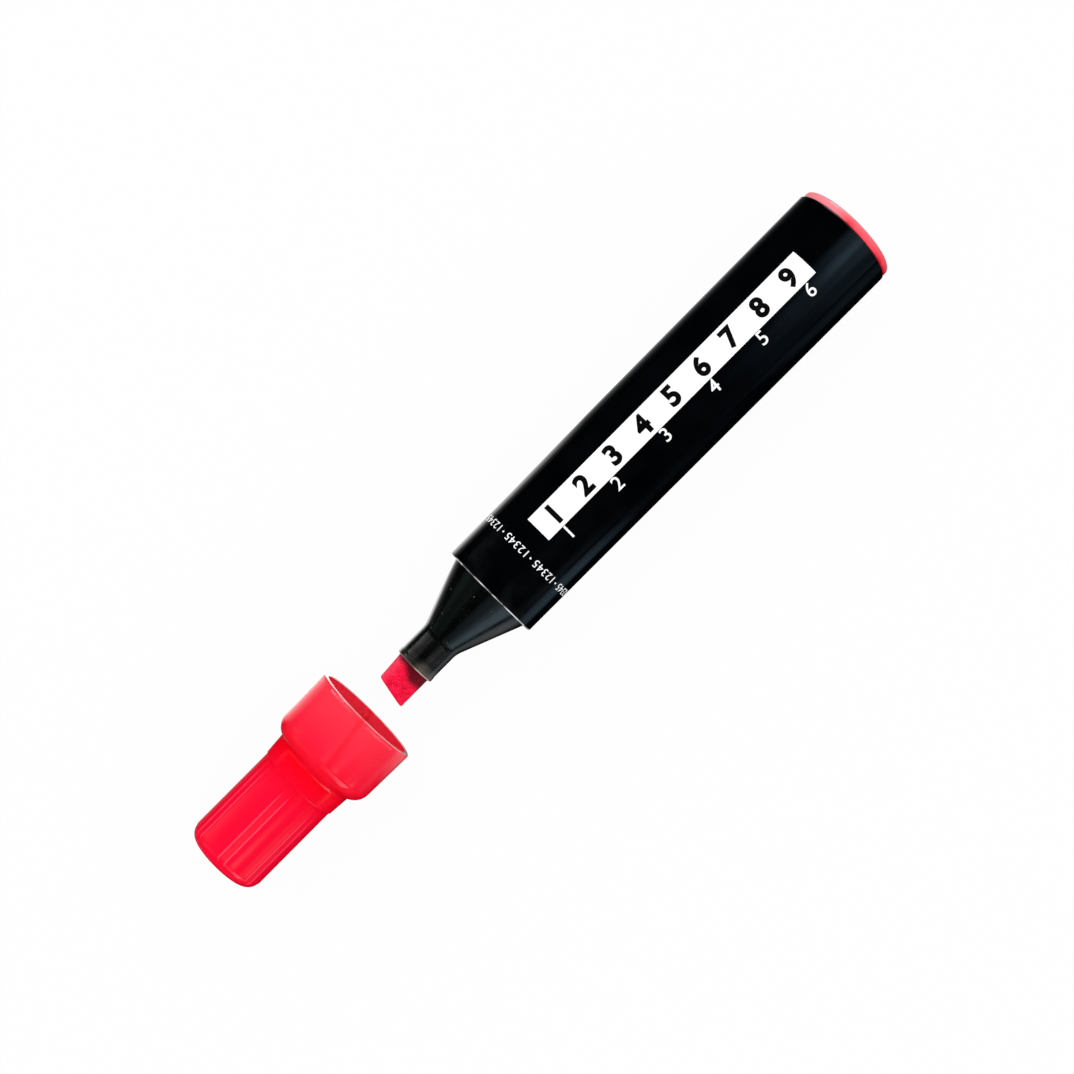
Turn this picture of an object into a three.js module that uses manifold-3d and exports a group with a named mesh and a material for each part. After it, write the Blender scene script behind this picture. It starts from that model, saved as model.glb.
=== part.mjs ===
// Permanent marker with a red chisel nib, lying on its side with its cap pulled off along its axis.
// Lengths are millimetres and Z is up. X runs along the marker's axis, from the cap towards the end plug.
// The marker is drawn from stations on its axis, counted rearwards from the barrel's front rim,
// and the cap from depths, counted from its mouth towards its closed end.

import * as THREE from 'three';
import { mergeVertices } from 'three/addons/utils/BufferGeometryUtils.js';
import Module from 'manifold-3d';

const wasm = await Module();
wasm.setup();

// Turned surfaces have this many flats: a multiple of four, so that one faces down and the box is square
const flats = 48;

// Fits
const pressGap = 0.05; // round a piece that is pressed into another
const runningGap = 0.15; // between the cap and the nose that it slides over
const sealGap = 0.05; // between the seal bead of the inner cap and the lip of the neck
const fibreGap = 0.3; // round the nib's tail and at the ends of the ink fibre

// Barrel, a tapered tube with a socket in each end
const barrelLength = 96.3;
const barrelFrontRadius = 10.75;
const barrelTaper = 0.4; // gain of radius from front to rear
const barrelWall = 1.6;
const barrelEdge = 0.25;
const socketWall = 1.25;
const frontSocketDepth = 6.5;
const rearSocketDepth = 6.5;

// Nib, a felt block with a slanted tip
const nibWidth = 7.3;
const nibThickness = 4.6;
const nibCorner = 1.5;
const nibReach = 7.2; // of its long side beyond the nose
const nibSlant = 10.4; // degrees
const nibLean = 4; // degrees, of its short side at the tip
const nibBite = 5; // of its tail in the ink fibre

// Nose, a cone with a straight neck
const noseLength = 20.4;
const coneAngle = 21.5; // degrees, between its side and the axis
const coneInset = 0.2; // of its base from the socket
const noseSetback = 0.3; // of its pressed part behind the rim
const noseLead = 0.4; // chamfer that starts it in the socket
const noseWall = 1.3;
const neckWall = 0.45; // beside the nib
const neckBlend = 5; // radius between neck and cone
const lipHeight = 0.1; // snap lip at the neck's front end
const lipLength = 0.9;
const lipChamfer = 0.35;
const slotDepth = 12; // length of the neck's slot that grips the nib

// Ink fibre and its film
const reservoirGap = 0.25; // between film and barrel
const filmThickness = 0.25;
const filmSetback = 0.2; // of the film from each end of the fibre
const fibreSetback = 0.5; // of the fibre behind the nose

// End plug
const plugInset = 0.25; // of its flange from the barrel's outside
const plugHeight = 1.8; // of its flange beyond the barrel
const plugRound = 0.8;
const plugDepth = 6; // of its skirt
const plugWall = 1.2;
const plugLead = 0.4;
const plugFloor = 1.3;
const plugRib = 1; // thickness of the crossed ribs in the skirt
const plugRibReach = 0.6; // of those ribs beyond the skirt

// Cap
const capDistance = 33.2; // from the barrel's rim to the mouth of the cap that lies pulled off
const mouthLap = 0.5; // width of the ring in which the barrel's rim meets the mouth
const capWall = 1.1;
const collarLength = 10.7;
const collarDraft = 0.26; // loss of radius from the mouth to the shoulder
const lipRound = 0.8; // at the outside of the mouth
const shoulderRadius = 3.45;
const ringRadius = 8.8;
const ringDraft = 0.35;
const ringLength = 4.5;
const gripRadius = 8.14;
const gripLength = 21.35;
const gripRound = 2.4; // at the closed end
const gripWall = 1.2;
const capFloor = 1.5;

// Fine ridges in pairs along the grip
const ridgePairs = 7;
const ridgeSpread = 11; // degrees between the two of a pair
const ridgeWidth = 0.62;
const ridgeHeight = 0.22;

// Guide ribs inside the collar
const guideCount = 6;
const guideWidth = 0.9;
const guideStart = 1; // depth
const guideEnd = 10; // depth

// Inner cap, a soft cup that seals round the neck
const sealOverlap = 6; // length of neck inside it when the cap is on
const nibRoom = 1.9; // in front of the nib when the cap is on
const innerWall = 1;
const innerFloor = 1.2;
const innerLead = 0.5;
const beadSetback = 1.9;
const beadWidth = 0.8;
const flangeSetback = 1.2;
const flangeThickness = 1.5;

// Radii and stations that follow from these
const barrelRearRadius = barrelFrontRadius + barrelTaper;
const frontSocketRadius = barrelFrontRadius - socketWall;
const rearSocketRadius = barrelRearRadius - socketWall;
const coneBaseRadius = frontSocketRadius - coneInset;
const neckRadius = nibWidth / 2 + pressGap + neckWall;
const plugRibEnd = barrelLength - plugDepth - plugRibReach;
const fibreFront = frontSocketDepth + fibreSetback;
const fibreRear = plugRibEnd - fibreGap;
const collarBore = barrelFrontRadius - mouthLap;
const mouthRadius = collarBore + capWall;
const shoulderTop = mouthRadius - collarDraft;
const shoulderSweep = Math.acos(1 - (shoulderTop - ringRadius) / shoulderRadius);
const ringStart = collarLength + shoulderRadius * Math.sin(shoulderSweep);
const gripStart = ringStart + ringLength;
const capLength = gripStart + gripLength;
const seatRadius = ringRadius - ringDraft - capWall;
const innerMouth = noseLength - sealOverlap;
const flangeEnd = innerMouth + flangeSetback + flangeThickness;
const rearEnd = barrelLength + plugHeight;
const frontEnd = capDistance + capLength;

const radians = THREE.MathUtils.degToRad;

function point(radius, along) {
  return new THREE.Vector2(radius, along);
}

// Points on a circle arc; angles in degrees, counted from the radius towards the rear
function arc(centreRadius, centreAlong, size, from, to, steps) {
  const points = [];
  for (let step = 0; step <= steps; step += 1) {
    const angle = radians(from + ((to - from) * step) / steps);
    points.push(point(centreRadius + size * Math.cos(angle), centreAlong + size * Math.sin(angle)));
  }
  return points;
}

// Closed body of a geometry, without the slivers that have no area
function solidOf(geometry) {
  geometry.deleteAttribute('normal');
  geometry.deleteAttribute('uv');
  const merged = mergeVertices(geometry, 1e-4);
  const corners = merged.index.array;
  const kept = [];
  for (let first = 0; first < corners.length; first += 3) {
    const [a, b, c] = corners.slice(first, first + 3);
    if (a !== b && b !== c && c !== a) {
      kept.push(a, b, c);
    }
  }
  const vertProperties = new Float32Array(merged.attributes.position.array);
  const triVerts = new Uint32Array(kept);
  return new wasm.Manifold(new wasm.Mesh({ numProp: 3, vertProperties, triVerts }));
}

// Body turned about the marker's axis from an outline that runs outwards at its front and back along its outside
function turned(outline) {
  const geometry = new THREE.LatheGeometry(outline, flats, Math.PI / flats);
  geometry.rotateZ(-Math.PI / 2);
  return solidOf(geometry);
}

// Ring turned from an outline that closes on itself
function turnedRing(outline) {
  return turned([...outline, outline[0].clone()]);
}

// Body with one cross-section, drawn in Y and Z, between two stations
function prism(section, from, to) {
  const geometry = new THREE.ExtrudeGeometry(section, { depth: to - from, bevelEnabled: false, curveSegments: 4 });
  const alongY = new THREE.Vector3(0, 1, 0);
  const alongZ = new THREE.Vector3(0, 0, 1);
  const alongX = new THREE.Vector3(1, 0, 0);
  geometry.applyMatrix4(new THREE.Matrix4().makeBasis(alongY, alongZ, alongX));
  geometry.translate(from, 0, 0);
  return solidOf(geometry);
}

// Rectangle round the axis with rounded corners, larger by a gap on every side
function roundedSection(width, height, corner, gap) {
  const halfWidth = width / 2 + gap;
  const halfHeight = height / 2 + gap;
  const round = Math.min(corner + gap, halfWidth, halfHeight);
  const section = new THREE.Shape();
  section.moveTo(halfWidth, -halfHeight + round);
  section.lineTo(halfWidth, halfHeight - round);
  section.absarc(halfWidth - round, halfHeight - round, round, 0, Math.PI / 2);
  section.lineTo(-halfWidth + round, halfHeight);
  section.absarc(-halfWidth + round, halfHeight - round, round, Math.PI / 2, Math.PI);
  section.lineTo(-halfWidth, -halfHeight + round);
  section.absarc(-halfWidth + round, -halfHeight + round, round, Math.PI, 1.5 * Math.PI);
  section.lineTo(halfWidth - round, -halfHeight);
  section.absarc(halfWidth - round, -halfHeight + round, round, 1.5 * Math.PI, 2 * Math.PI);
  return section;
}

// Box between two stations, drawn by its limits in Y and Z
function block(from, to, lowY, highY, lowZ, highZ) {
  const geometry = new THREE.BoxGeometry(to - from, highY - lowY, highZ - lowZ);
  geometry.translate((from + to) / 2, (lowY + highY) / 2, (lowZ + highZ) / 2);
  return solidOf(geometry);
}

function turnedAbout(solid, degrees) {
  return solid.rotate([degrees, 0, 0]);
}

function addPiece(group, name, solid, finish) {
  const mesh = solid.getMesh();
  const geometry = new THREE.BufferGeometry();
  geometry.setAttribute('position', new THREE.BufferAttribute(mesh.vertProperties, 3));
  geometry.setIndex(new THREE.BufferAttribute(mesh.triVerts, 1));
  geometry.computeVertexNormals();
  const piece = new THREE.Mesh(geometry, new THREE.MeshStandardMaterial(finish));
  piece.name = name;
  group.add(piece);
}

const glossBlack = { color: 0x0a0b0d, roughness: 0.18, metalness: 0 };
const satinBlack = { color: 0x1d1f21, roughness: 0.5, metalness: 0 };
const redFelt = { color: 0xd5082f, roughness: 0.9, metalness: 0 };
const inkedFibre = { color: 0xb5122e, roughness: 0.95, metalness: 0 };
const clearFilm = { color: 0xd9dadb, roughness: 0.3, metalness: 0 };
const redPlastic = { color: 0xf5122f, roughness: 0.3, metalness: 0 };
const whitePlastic = { color: 0xeeeae2, roughness: 0.4, metalness: 0 };

// Outer radius of the barrel at a station
function barrelRadius(station) {
  return THREE.MathUtils.lerp(barrelFrontRadius, barrelRearRadius, station / barrelLength);
}

function barrel() {
  const frontLedge = frontSocketDepth;
  const rearLedge = barrelLength - rearSocketDepth;
  return turnedRing([
    point(frontSocketRadius, 0),
    ...arc(barrelFrontRadius - barrelEdge, barrelEdge, barrelEdge, -90, 0, 2),
    ...arc(barrelRearRadius - barrelEdge, barrelLength - barrelEdge, barrelEdge, 0, 90, 2),
    point(rearSocketRadius, barrelLength),
    point(rearSocketRadius, rearLedge),
    point(barrelRadius(rearLedge) - barrelWall, rearLedge),
    point(barrelRadius(frontLedge) - barrelWall, frontLedge),
    point(frontSocketRadius, frontLedge),
  ]);
}

// The cone runs into the neck through an arc. Its cavity keeps one wall behind the cone and ends at the slot.
function nose() {
  const slope = Math.tan(radians(coneAngle));
  const corner = -(coneBaseRadius - neckRadius) / slope;
  const blendLength = neckBlend * Math.tan(radians(coneAngle / 2));
  const pressedRadius = frontSocketRadius - pressGap;
  const rear = frontSocketDepth - pressGap;
  const lipRadius = neckRadius + lipHeight;
  const wallAcross = noseWall / Math.cos(radians(coneAngle));
  const cavityRadius = coneBaseRadius - wallAcross;
  const cavityEnd = slotDepth - noseLength;
  const body = turned([
    point(0, -noseLength),
    point(lipRadius - lipChamfer, -noseLength),
    point(lipRadius, lipChamfer - noseLength),
    point(lipRadius, lipLength - noseLength),
    point(neckRadius, lipLength + lipChamfer - noseLength),
    ...arc(neckRadius + neckBlend, corner - blendLength, neckBlend, 180, 180 - coneAngle, 3),
    point(coneBaseRadius, 0),
    point(coneBaseRadius, noseSetback),
    point(pressedRadius, noseSetback),
    point(pressedRadius, rear - noseLead),
    point(pressedRadius - noseLead, rear),
    point(cavityRadius, rear),
    point(cavityRadius, 0),
    point(cavityRadius + cavityEnd * slope, cavityEnd),
    point(0, cavityEnd),
  ]);
  const slot = roundedSection(nibWidth, nibThickness, nibCorner, pressGap);
  return body.subtract(prism(slot, -noseLength - 1, cavityEnd + 1));
}

// The plan of the block has the slanted tip. Its long side faces -Y and its short side leans in towards the tip.
function nib() {
  const tip = -noseLength - nibReach;
  const tail = fibreFront + nibBite;
  const half = nibWidth / 2;
  const lean = Math.tan(radians(nibLean)) * nibReach;
  const shortTip = tip + (nibWidth - lean) * Math.tan(radians(nibSlant));
  const plan = new THREE.Shape();
  plan.moveTo(tip, -half - 1);
  plan.lineTo(tail, -half - 1);
  plan.lineTo(tail, half + 1);
  plan.lineTo(-noseLength, half + 1);
  plan.lineTo(-noseLength, half);
  plan.lineTo(shortTip, half - lean);
  plan.lineTo(tip, -half);
  const outline = new THREE.ExtrudeGeometry(plan, { depth: 2 * nibThickness, bevelEnabled: false });
  outline.translate(0, 0, -nibThickness);
  const stock = prism(roundedSection(nibWidth, nibThickness, nibCorner, 0), tip, tail);
  return stock.intersect(solidOf(outline));
}

function filmRadius() {
  return barrelRadius(frontSocketDepth) - barrelWall - reservoirGap;
}

function reservoirCore() {
  const radius = filmRadius() - filmThickness - pressGap;
  const rod = turned([point(0, fibreFront), point(radius, fibreFront), point(radius, fibreRear), point(0, fibreRear)]);
  const pocket = roundedSection(nibWidth, nibThickness, nibCorner, fibreGap);
  return rod.subtract(prism(pocket, fibreFront - 1, fibreFront + nibBite + fibreGap));
}

function reservoirWrap() {
  const outside = filmRadius();
  const inside = outside - filmThickness;
  const front = fibreFront + filmSetback;
  const rear = fibreRear - filmSetback;
  return turnedRing([point(inside, front), point(outside, front), point(outside, rear), point(inside, rear)]);
}

// Flange with a rounded edge, a skirt pressed into the socket, and two crossed ribs that hold back the ink fibre
function endPlug() {
  const flangeRadius = barrelRearRadius - plugInset;
  const skirtRadius = rearSocketRadius - pressGap;
  const skirtBore = skirtRadius - plugWall;
  const skirtEnd = barrelLength - plugDepth;
  const seat = barrelLength + pressGap;
  const floor = rearEnd - plugFloor;
  const body = turned([
    point(0, floor),
    point(skirtBore, floor),
    point(skirtBore, skirtEnd),
    point(skirtRadius - plugLead, skirtEnd),
    point(skirtRadius, skirtEnd + plugLead),
    point(skirtRadius, seat),
    point(flangeRadius, seat),
    ...arc(flangeRadius - plugRound, rearEnd - plugRound, plugRound, 0, 90, 4),
    point(0, rearEnd),
  ]);
  const span = skirtBore + plugWall / 3;
  const rib = block(plugRibEnd, floor + plugFloor / 2, -span, span, -plugRib / 2, plugRib / 2);
  return body.add(rib).add(turnedAbout(rib, 90));
}

// Outside of the closed end and the side of the grip, larger by a margin, from the axis to a depth
function gripOutline(margin, depth) {
  const radius = gripRadius + margin;
  return [
    point(0, -capLength),
    ...arc(radius - gripRound, gripRound - capLength, gripRound, -90, 0, 5),
    point(radius, -depth),
  ];
}

// Pairs of fine rounded ridges from the neck ring to the closed end, where they die out on its rounding
function gripRidges() {
  const root = gripRadius - gripWall / 2;
  const crest = gripRadius + ridgeHeight;
  const section = new THREE.Shape();
  section.moveTo(-ridgeWidth / 2, -root);
  section.lineTo(-ridgeWidth / 2, -gripRadius);
  section.quadraticCurveTo(-ridgeWidth / 4, -crest, 0, -crest);
  section.quadraticCurveTo(ridgeWidth / 4, -crest, ridgeWidth / 2, -gripRadius);
  section.lineTo(ridgeWidth / 2, -root);
  const cut = turned([...gripOutline(ridgeHeight, 0), point(0, 0)]);
  const ridge = prism(section, -capLength, -gripStart + ringLength / 4).intersect(cut);
  const ridges = [];
  for (let pair = 0; pair < ridgePairs; pair += 1) {
    const middle = 180 + (360 * pair) / ridgePairs;
    ridges.push(turnedAbout(ridge, middle - ridgeSpread / 2));
    ridges.push(turnedAbout(ridge, middle + ridgeSpread / 2));
  }
  return ridges;
}

// Low ribs inside the collar that centre the cap on the base of the cone
function guideRibs() {
  const crest = coneBaseRadius + runningGap;
  const root = collarBore + capWall / 2 - collarDraft;
  const rib = block(-guideEnd, -guideStart, -guideWidth / 2, guideWidth / 2, -root, -crest);
  const ribs = [];
  for (let index = 0; index < guideCount; index += 1) {
    ribs.push(turnedAbout(rib, (360 * index) / guideCount));
  }
  return ribs;
}

// Collar, round shoulder, neck ring and grip, hollow with one wall, and a step inside that seats the inner cap
function capShell() {
  const shoulderCentre = shoulderTop - shoulderRadius;
  const hollowRound = shoulderRadius - capWall;
  const sweep = THREE.MathUtils.radToDeg(shoulderSweep);
  const gripBore = gripRadius - gripWall;
  const seat = flangeEnd + pressGap;
  const floor = capLength - capFloor;
  const floorRound = gripRound - capFloor / 2;
  let shell = turned([
    ...gripOutline(0, gripStart),
    point(ringRadius - ringDraft, -gripStart),
    ...arc(shoulderCentre, -collarLength, shoulderRadius, -sweep, 0, 6),
    ...arc(mouthRadius - lipRound, -lipRound, lipRound, 0, 90, 4),
    point(collarBore, 0),
    ...arc(shoulderCentre, -collarLength, hollowRound, 0, -90, 5),
    point(seatRadius, -collarLength - hollowRound),
    point(seatRadius, -seat),
    point(gripBore, -seat),
    ...arc(gripBore - floorRound, floorRound - floor, floorRound, 0, -90, 3),
    point(0, -floor),
  ]);
  for (const detail of [...gripRidges(), ...guideRibs()]) {
    shell = shell.add(detail);
  }
  return shell;
}

function innerCap() {
  const bore = neckRadius + lipHeight + runningGap;
  const bead = neckRadius + lipHeight + sealGap;
  const outside = bore + innerWall;
  const flangeRadius = seatRadius - pressGap;
  const floor = noseLength + nibReach + nibRoom;
  const end = floor + innerFloor;
  const beadStart = innerMouth + beadSetback;
  const beadEnd = beadStart + beadWidth;
  const flangeStart = flangeEnd - flangeThickness;
  return turned([
    point(0, -end),
    ...arc(outside - innerFloor, innerFloor - end, innerFloor, -90, 0, 3),
    point(outside, -flangeEnd),
    point(flangeRadius, -flangeEnd),
    point(flangeRadius, -flangeStart),
    point(outside, -flangeStart),
    point(outside, -innerMouth),
    point(bore + innerLead, -innerMouth),
    point(bore, -innerMouth - innerLead),
    point(bore, -beadStart),
    point(bead, -beadStart - beadWidth / 3),
    point(bead, -beadEnd + beadWidth / 3),
    point(bore, -beadEnd),
    point(bore, -floor),
    point(0, -floor),
  ]);
}

// The lowest flat lies on the ground, and the middle of the whole length is above the origin
const axisHeight = Math.max(mouthRadius, barrelRearRadius) * Math.cos(Math.PI / flats);
const marker = new THREE.Group();
marker.position.set((frontEnd - rearEnd) / 2, 0, axisHeight);
addPiece(marker, 'barrel', barrel(), glossBlack);
addPiece(marker, 'nose', nose(), satinBlack);
addPiece(marker, 'nib', nib(), redFelt);
addPiece(marker, 'reservoir_core', reservoirCore(), inkedFibre);
addPiece(marker, 'reservoir_wrap', reservoirWrap(), clearFilm);
addPiece(marker, 'end_plug', endPlug(), redPlastic);

const cap = new THREE.Group();
cap.position.x = -capDistance;
addPiece(cap, 'cap_shell', capShell(), redPlastic);
addPiece(cap, 'inner_cap', innerCap(), whitePlastic);
marker.add(cap);

const part = new THREE.Group();
part.add(marker);

export default part;
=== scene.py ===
import math

import bmesh
import bpy
import numpy as np
from mathutils import Matrix, Vector


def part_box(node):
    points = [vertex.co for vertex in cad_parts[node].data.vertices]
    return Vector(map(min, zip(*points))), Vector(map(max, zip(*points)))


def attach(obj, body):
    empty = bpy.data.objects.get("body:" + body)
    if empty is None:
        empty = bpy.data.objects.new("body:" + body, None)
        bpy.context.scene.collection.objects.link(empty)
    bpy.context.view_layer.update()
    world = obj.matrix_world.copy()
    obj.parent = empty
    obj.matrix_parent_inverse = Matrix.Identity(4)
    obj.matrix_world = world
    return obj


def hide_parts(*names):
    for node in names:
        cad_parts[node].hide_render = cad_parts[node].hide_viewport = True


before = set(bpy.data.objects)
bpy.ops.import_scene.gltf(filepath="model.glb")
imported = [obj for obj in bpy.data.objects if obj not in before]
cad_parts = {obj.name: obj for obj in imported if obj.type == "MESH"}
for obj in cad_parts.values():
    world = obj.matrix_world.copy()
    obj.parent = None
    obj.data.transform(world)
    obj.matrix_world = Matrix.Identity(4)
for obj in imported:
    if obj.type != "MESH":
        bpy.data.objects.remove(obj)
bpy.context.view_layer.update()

scene = bpy.context.scene

# Barrel
# The marker's body is one tube of black polypropylene, moulded in a polished mould, a little wider at the rear
# so that it leaves its core. It lies on the ground and everything else is pressed into its two ends.
MM = 0.001
barrel_low, barrel_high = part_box("barrel")
rim_x = barrel_low.x / MM
axis_z = (barrel_low.z + barrel_high.z) / 2 / MM
barrel_length = 96.3
barrel_front_radius = 10.75
barrel_rear_radius = 11.15
socket_wall = 1.25
socket_depth = 6.5
bore_wall = 1.6


def rounded_profile(corners):
    """Outline in radius and station through corners given as (radius, station, fillet), or with the fillet's
    steps added. A fillet of radius r at a corner whose sides meet at an angle 2h starts r / tan(h) from it on
    each side, and its centre lies r / sin(h) from it on the line that halves the angle. A guard point lies just
    before and after each fillet, so that the shading of the long sides stays straight."""
    guard = 0.03
    outline = []
    for index, corner in enumerate(corners):
        here = np.array(corner[:2], float)
        fillet = corner[2] if len(corner) > 2 else 0
        steps = corner[3] if len(corner) > 3 else 6
        if not fillet or index in (0, len(corners) - 1):
            outline.append(here[None])
            continue
        before = np.array(corners[index - 1][:2], float) - here
        after = np.array(corners[index + 1][:2], float) - here
        reach = min(np.linalg.norm(before), np.linalg.norm(after))
        before /= np.linalg.norm(before)
        after /= np.linalg.norm(after)
        half = math.acos(np.clip(before @ after, -1, 1)) / 2
        start = min(fillet / math.tan(half), reach * 0.49)
        size = start * math.tan(half)
        middle = (before + after) / np.linalg.norm(before + after)
        centre = here + middle * size / math.sin(half)
        across = np.stack([here + before * start - centre, here + after * start - centre])
        turn = math.pi - 2 * half
        share = np.linspace(0, 1, steps + 1)[:, None]
        arc = (np.sin((1 - share) * turn) * across[0] + np.sin(share * turn) * across[1]) / math.sin(turn)
        lead = min(guard, reach * 0.49 - start) if reach * 0.49 > start else 0
        points = [centre + arc]
        if lead > 1e-4:
            points = [here + (before * (start + lead))[None], *points, here + (after * (start + lead))[None]]
        outline.append(np.concatenate(points))
    return np.concatenate(outline)


def spread(outline, longest):
    """Outline with points added so that no step along it is longer than the given length."""
    parts = []
    for first, second in zip(outline[:-1], outline[1:]):
        count = max(1, math.ceil(np.linalg.norm(second - first) / longest))
        parts.append(first + (second - first) * (np.arange(count) / count)[:, None])
    return np.concatenate([*parts, outline[-1:]])


def turned_grid(radius, station, angles):
    """Grid of points on turned rows: x is the station, y is radius times the sine of the angle and z is the axis
    height plus radius times its cosine. Radius is one value to a row, or one to each row and angle."""
    radius = np.asarray(radius, float)
    if radius.ndim == 1:
        radius = radius[:, None] * np.ones(len(angles))
    station = station[:, None] * np.ones(len(angles))
    return np.stack([rim_x + station, radius * np.sin(angles), axis_z + radius * np.cos(angles)], -1)


def link_object(name, data):
    """Object of a mesh, a curve, a camera or a lamp, linked to the scene."""
    thing = bpy.data.objects.new(name, data)
    scene.collection.objects.link(thing)
    return thing


def link_mesh(name, points, faces):
    """Object of a mesh with smooth faces, from points in millimetres."""
    mesh = bpy.data.meshes.new(name)
    mesh.from_pydata((np.asarray(points) * MM).tolist(), [], faces)
    mesh.polygons.foreach_set("use_smooth", np.ones(len(mesh.polygons), bool))
    mesh.update()
    return link_object(name, mesh)


def closed_surface(name, grid, ring=False):
    """Closed surface through a grid whose columns close round it. Point (i, j) joins (i, j + 1), (i + 1, j + 1)
    and (i + 1, j). A ring's last row joins its first; otherwise the first and last rows are poles, each made one
    point with a fan of triangles. The faces are turned outwards where the enclosed volume comes out negative."""
    rows, columns = grid.shape[:2]
    points = grid.reshape(-1, 3)
    first = 0 if ring else 1
    last = rows if ring else rows - 2
    i, j = np.meshgrid(np.arange(first, last), np.arange(columns), indexing="ij")
    beside = (j + 1) % columns
    below = (i + 1) % rows
    quads = np.stack([i * columns + j, i * columns + beside, below * columns + beside, below * columns + j], -1)
    quads = quads.reshape(-1, 4)
    fans = np.zeros((0, 3), int)
    if not ring:
        around = np.arange(columns)
        beside = (around + 1) % columns
        start_fan = np.stack([np.zeros(columns, int), columns + beside, columns + around], -1)
        end = (rows - 1) * columns
        end_fan = np.stack([np.full(columns, end), end - columns + around, end - columns + beside], -1)
        fans = np.concatenate([start_fan, end_fan])
    corners = points[np.concatenate([quads[:, :3], quads[:, [0, 2, 3]], fans])]
    volume = np.einsum("ij,ij->i", corners[:, 0], np.cross(corners[:, 1], corners[:, 2])).sum()
    if volume < 0:
        quads = quads[:, ::-1]
        fans = fans[:, ::-1]
    if not ring:
        used = np.ones(len(points), bool)
        used[1:columns] = False
        used[(rows - 1) * columns + 1:] = False
        number = np.cumsum(used) - 1
        points = points[used]
        quads = number[quads]
        fans = number[fans]
    return link_mesh(name, points, quads.tolist() + fans.tolist())


def linear(colour):
    """Linear RGBA of an sRGB hex colour: c / 12.92 below 0.04045, else ((c + 0.055) / 1.055) to the power 2.4."""
    parts = np.array([int(colour[k:k + 2], 16) for k in (1, 3, 5)]) / 255
    parts = np.where(parts <= 0.04045, parts / 12.92, ((parts + 0.055) / 1.055) ** 2.4)
    return (*parts.tolist(), 1.0)


def add(tree, kind, inputs={}, settings={}, stops=()):
    """Adds a shader node with its settings, and gives each input a value or a link. A node given as a value stands
    for the first of its outputs that is in use. Stops are a colour ramp's, as (position, colour). Colours given
    as sRGB hex are made linear."""
    node = tree.nodes.new("ShaderNode" + kind)
    for key, value in settings.items():
        setattr(node, key, value)
    for index, (position, colour) in enumerate(stops):
        elements = node.color_ramp.elements
        element = elements[index] if index < 2 else elements.new(position)
        element.position = position
        element.color = linear(colour) if isinstance(colour, str) else colour
    for key, value in inputs.items():
        if isinstance(value, bpy.types.Node):
            value = next(output for output in value.outputs if output.enabled)
        if isinstance(value, str):
            value = linear(value)
        if isinstance(value, bpy.types.NodeSocket):
            tree.links.new(value, node.inputs[key])
        else:
            node.inputs[key].default_value = value
    return node


smooth = {"interpolation_type": "SMOOTHSTEP"}
in_colour = {"data_type": "RGBA"}
times = {"operation": "MULTIPLY"}
times_and_plus = {"operation": "MULTIPLY_ADD"}


def empty_material(name):
    """New material without nodes, its tree, and the place on the object that its patterns go by."""
    material = bpy.data.materials.new(name)
    material.use_nodes = True
    material.node_tree.nodes.clear()
    return material, material.node_tree, add(material.node_tree, "TexCoord").outputs["Object"]


def axis_distance(tree, place):
    """Node that gives how far a place is from the marker's axis."""
    section = add(tree, "Mapping", {"Vector": place, "Location": (0, 0, -axis_z * MM), "Scale": (0, 1, 1)})
    return add(tree, "VectorMath", {0: section}, {"operation": "LENGTH"})


def polished_black_polypropylene():
    """Black polypropylene from a polished mould: nearly mirror-smooth, with a faint waviness that the mould
    leaves and dull smudges where fingers have held it. The edge of the front rim, which the cap slides over,
    carries a painted highlight: a pale, broken line about 0.2 mm wide."""
    material, tree, place = empty_material("black_polypropylene_polished")
    smudge, fine, broken = [
        add(tree, "TexNoise", {"Vector": place, "Scale": 1 / (size * MM), "Detail": detail})
        for size, detail in ((9, 4.0), (0.9, 2.0), (2.2, 3.0))]
    colour = add(tree, "ValToRGB", {"Fac": smudge}, stops=[(0.35, "#010203"), (0.7, "#040508")])
    station = add(tree, "SeparateXYZ", {"Vector": place}).outputs["X"]
    rim = add(tree, "MapRange", {
        "Value": station, "From Min": (rim_x + 0.12) * MM, "From Max": (rim_x + 0.28) * MM,
        "To Min": 1.0, "To Max": 0.0}, smooth)
    radius = axis_distance(tree, place)
    outside = add(tree, "MapRange", {
        "Value": radius, "From Min": (barrel_front_radius - 0.3) * MM,
        "From Max": (barrel_front_radius - 0.15) * MM})
    chance = add(tree, "MapRange", {
        "Value": broken, "From Min": 0.42, "From Max": 0.58, "To Min": 0.12, "To Max": 1.0})
    edge = add(tree, "Math", {0: rim, 1: outside}, times)
    rim_highlight_mask = add(tree, "Math", {0: edge, 1: chance}, times)
    # Painted highlight: the outer edge of the front rim is painted pale in a broken line.
    painted_highlights = add(tree, "Mix", {0: rim_highlight_mask, 6: colour, 7: "#f4f5f6"}, in_colour)
    roughness = add(tree, "MapRange", {
        "Value": smudge, "From Min": 0.4, "From Max": 0.75, "To Min": 0.05, "To Max": 0.12})
    dull = add(tree, "Math", {0: rim_highlight_mask, 1: 0.4, 2: roughness}, times_and_plus)
    bump = add(tree, "Bump", {"Height": fine, "Strength": 0.12, "Distance": 0.01 * MM})
    shader = add(tree, "BsdfPrincipled", {
        "Base Color": painted_highlights, "Roughness": dull, "IOR": 1.49,
        "Normal": bump})
    add(tree, "OutputMaterial", {"Surface": shader})
    return material


def finish_piece(piece, material, body, slot, *nodes):
    """Gives a piece its material and body, and hides the CAD nodes that it stands for. The slot is not used."""
    piece.data.materials.append(material)
    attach(piece, body)
    if nodes:
        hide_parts(*nodes)


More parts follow.
